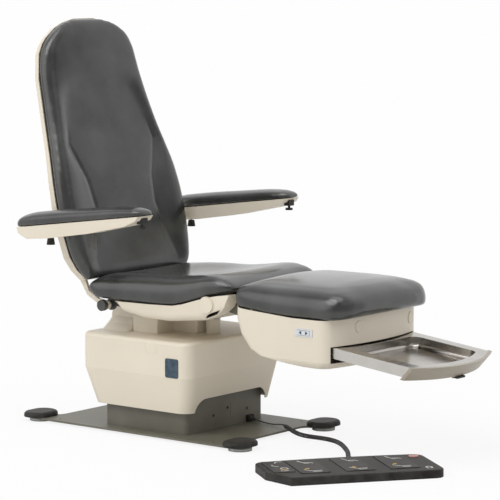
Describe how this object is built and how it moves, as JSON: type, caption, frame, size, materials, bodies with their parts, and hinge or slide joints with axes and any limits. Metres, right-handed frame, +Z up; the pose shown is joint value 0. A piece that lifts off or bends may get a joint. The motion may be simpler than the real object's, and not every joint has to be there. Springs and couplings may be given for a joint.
{
  "type": "podiatry chair",
  "caption": "Powered treatment chair on a base plate: lifting column, tilting seat, reclining back, folding arms, extending leg section with drain tray, and a corded foot control.",
  "frame": {"origin": "on the floor, under the middle of the base plate", "axes": "+Z up; -Y the way the patient faces, where the legs point; -X the patient's right"},
  "size_m": [1.1943, 1.9932, 1.6371],
  "materials": {
    "cream_plastic": "satin",
    "charcoal_vinyl": "satin",
    "grey_green_paint": "satin",
    "dark_plastic": "matte",
    "polished_steel": "satin",
    "zinc_steel": "satin",
    "frame_paint": "satin",
    "soft_grey": "matte",
    "blue_plate": "gloss",
    "cable_jacket": "matte",
    "key_plastic": "matte",
    "stop_pink": "matte"
  },
  "bodies": {
    "base": {"base_plate": "grey_green_paint", "corner_pads": "dark_plastic", "levelling_glides": "zinc_steel", "tower_cover": "grey_green_paint", "tower_screws": "dark_plastic", "power_inlet": "dark_plastic", "cord_socket": "dark_plastic", "control_box": "dark_plastic", "lift_drive": "zinc_steel", "column_outer": "zinc_steel", "foot_control_housing": "dark_plastic", "cord_plug": "cable_jacket", "cord_lead": "cable_jacket", "cord_coil": "cable_jacket"},
    "column_mid": {"column_middle": "zinc_steel", "inner_cover": "grey_green_paint"},
    "carriage": {"lift_head": "frame_paint", "shroud": "cream_plastic", "badge_plate": "blue_plate", "pedestal_cover": "cream_plastic", "tilt_axle": "zinc_steel", "tilt_ram": "frame_paint"},
    "tilt_ram_rod": {"tilt_rod": "zinc_steel"},
    "seat": {"seat_frame": "frame_paint", "seat_pan": "cream_plastic", "seat_cushion": "charcoal_vinyl", "seat_caps": "cream_plastic", "leg_axle": "zinc_steel", "back_motor": "dark_plastic", "leg_motor": "dark_plastic"},
    "back_drive_rod": {"back_rod": "zinc_steel"},
    "leg_drive_rod": {"leg_rod": "zinc_steel"},
    "back": {"back_axle": "frame_paint", "back_frame": "frame_paint", "back_shell": "cream_plastic", "back_cushion": "charcoal_vinyl"},
    "leg_frame": {"leg_frame": "frame_paint"},
    "leg_box": {"leg_shell": "cream_plastic", "leg_board": "dark_plastic", "leg_cushion": "charcoal_vinyl", "switch_bezel": "cream_plastic", "drawer_runners": "cream_plastic"},
    "rocker": {"switch_rocker": "soft_grey"},
    "tray": {"tray_basin": "polished_steel", "tray_rails": "polished_steel", "tray_front": "cream_plastic"},
    "latch": {"tray_latch": "dark_plastic"},
    "stop_button": {"foot_stop_button": "stop_pink"},
    "key_program": {"foot_key_program": "key_plastic"},
    "key_1": {"foot_key_1": "key_plastic"},
    "key_2": {"foot_key_2": "key_plastic"},
    "key_3": {"foot_key_3": "key_plastic"},
    "arm_left": {"arm_shell_left": "cream_plastic", "arm_pad_left": "charcoal_vinyl", "arm_bracket_left": "dark_plastic"},
    "knob_left": {"arm_knob_left": "dark_plastic"},
    "arm_right": {"arm_shell_right": "cream_plastic", "arm_pad_right": "charcoal_vinyl", "arm_bracket_right": "dark_plastic"},
    "knob_right": {"arm_knob_right": "dark_plastic"}
  },
  "joints": [
    {"name": "lift", "type": "slide", "parent": "base", "child": "carriage", "axis": [0, 0, 1], "range_m": [-0.085, 0.32]},
    {"name": "column_stage", "type": "slide", "parent": "base", "child": "column_mid", "axis": [0, 0, 1], "range_m": [-0.0425, 0.16]},
    {"name": "seat_tilt", "type": "hinge", "parent": "carriage", "child": "seat", "pos_m": [0, 0.175, 0.445], "axis": [-1, 0, 0], "range_deg": [0, 30]},
    {"name": "tilt_push", "type": "slide", "parent": "carriage", "child": "tilt_ram_rod", "axis": [0, 0, 1], "range_m": [0, 0.185]},
    {"name": "back_recline", "type": "hinge", "parent": "seat", "child": "back", "pos_m": [0, 0.158, 0.506], "axis": [1, 0, 0], "range_deg": [-75, 6]},
    {"name": "back_push", "type": "slide", "parent": "seat", "child": "back_drive_rod", "axis": [0, 1, 0], "range_m": [-0.0515, 0.0045]},
    {"name": "leg_fold", "type": "hinge", "parent": "seat", "child": "leg_frame", "pos_m": [0, -0.377, 0.554], "axis": [1, 0, 0], "range_deg": [0, 18]},
    {"name": "leg_push", "type": "slide", "parent": "seat", "child": "leg_drive_rod", "axis": [0, 1, 0], "range_m": [0, 0.0158]},
    {"name": "leg_extension", "type": "slide", "parent": "leg_frame", "child": "leg_box", "axis": [0, -1, 0], "range_m": [0, 0.15]},
    {"name": "tray_slide", "type": "slide", "parent": "leg_box", "child": "tray", "axis": [0, 0.9932, 0.1167], "range_m": [0, 0.315]},
    {"name": "tray_latch_turn", "type": "hinge", "parent": "tray", "child": "latch", "pos_m": [0, -1.337, 0.33626], "axis": [1, 0, 0], "range_deg": [0, 20], "stiffness_Nm_per_rad": 0.05},
    {"name": "arm_flip_left", "type": "hinge", "parent": "back", "child": "arm_left", "pos_m": [0.464, 0.32874, 0.80047], "axis": [-1, 0, 0], "range_deg": [0, 97]},
    {"name": "arm_release_left", "type": "slide", "parent": "arm_left", "child": "knob_left", "axis": [0, 0, -1], "range_m": [0, 0.008], "stiffness_N_per_m": 500},
    {"name": "arm_flip_right", "type": "hinge", "parent": "back", "child": "arm_right", "pos_m": [-0.464, 0.32874, 0.80047], "axis": [-1, 0, 0], "range_deg": [0, 97]},
    {"name": "arm_release_right", "type": "slide", "parent": "arm_right", "child": "knob_right", "axis": [0, 0, -1], "range_m": [0, 0.008], "stiffness_N_per_m": 500},
    {"name": "extension_switch", "type": "hinge", "parent": "leg_box", "child": "rocker", "pos_m": [-0.3015, -0.847, 0.489], "axis": [0, 0, 1], "range_deg": [-4, 4], "stiffness_Nm_per_rad": 0.2},
    {"name": "foot_key_program_rock", "type": "hinge", "parent": "base", "child": "key_program", "pos_m": [-0.55858, -0.92364, 0.02305], "axis": [0.7955, -0.606, 0], "range_deg": [-3, 3], "stiffness_Nm_per_rad": 4},
    {"name": "foot_key_1_rock", "type": "hinge", "parent": "base", "child": "key_1", "pos_m": [-0.48558, -1.00439, 0.02305], "axis": [0.7955, -0.606, 0], "range_deg": [-3, 3], "stiffness_Nm_per_rad": 4},
    {"name": "foot_key_2_rock", "type": "hinge", "parent": "base", "child": "key_2", "pos_m": [-0.35035, -1.10741, 0.02305], "axis": [0.7955, -0.606, 0], "range_deg": [-3, 3], "stiffness_Nm_per_rad": 4},
    {"name": "foot_key_3_rock", "type": "hinge", "parent": "base", "child": "key_3", "pos_m": [-0.21512, -1.21043, 0.02305], "axis": [0.7955, -0.606, 0], "range_deg": [-3, 3], "stiffness_Nm_per_rad": 4},
    {"name": "stop_press", "type": "slide", "parent": "base", "child": "stop_button", "axis": [0, 0, -1], "range_m": [0, 0.003], "stiffness_N_per_m": 600}
  ],
  "couplings": [
    {"joint": "column_stage", "follows": "lift", "ratio": 0.5},
    {"joint": "tilt_push", "follows": "seat_tilt", "m_per_rad": 0.345},
    {"joint": "back_push", "follows": "back_recline", "m_per_rad": 0.039},
    {"joint": "leg_push", "follows": "leg_fold", "m_per_rad": 0.05}
  ]
}
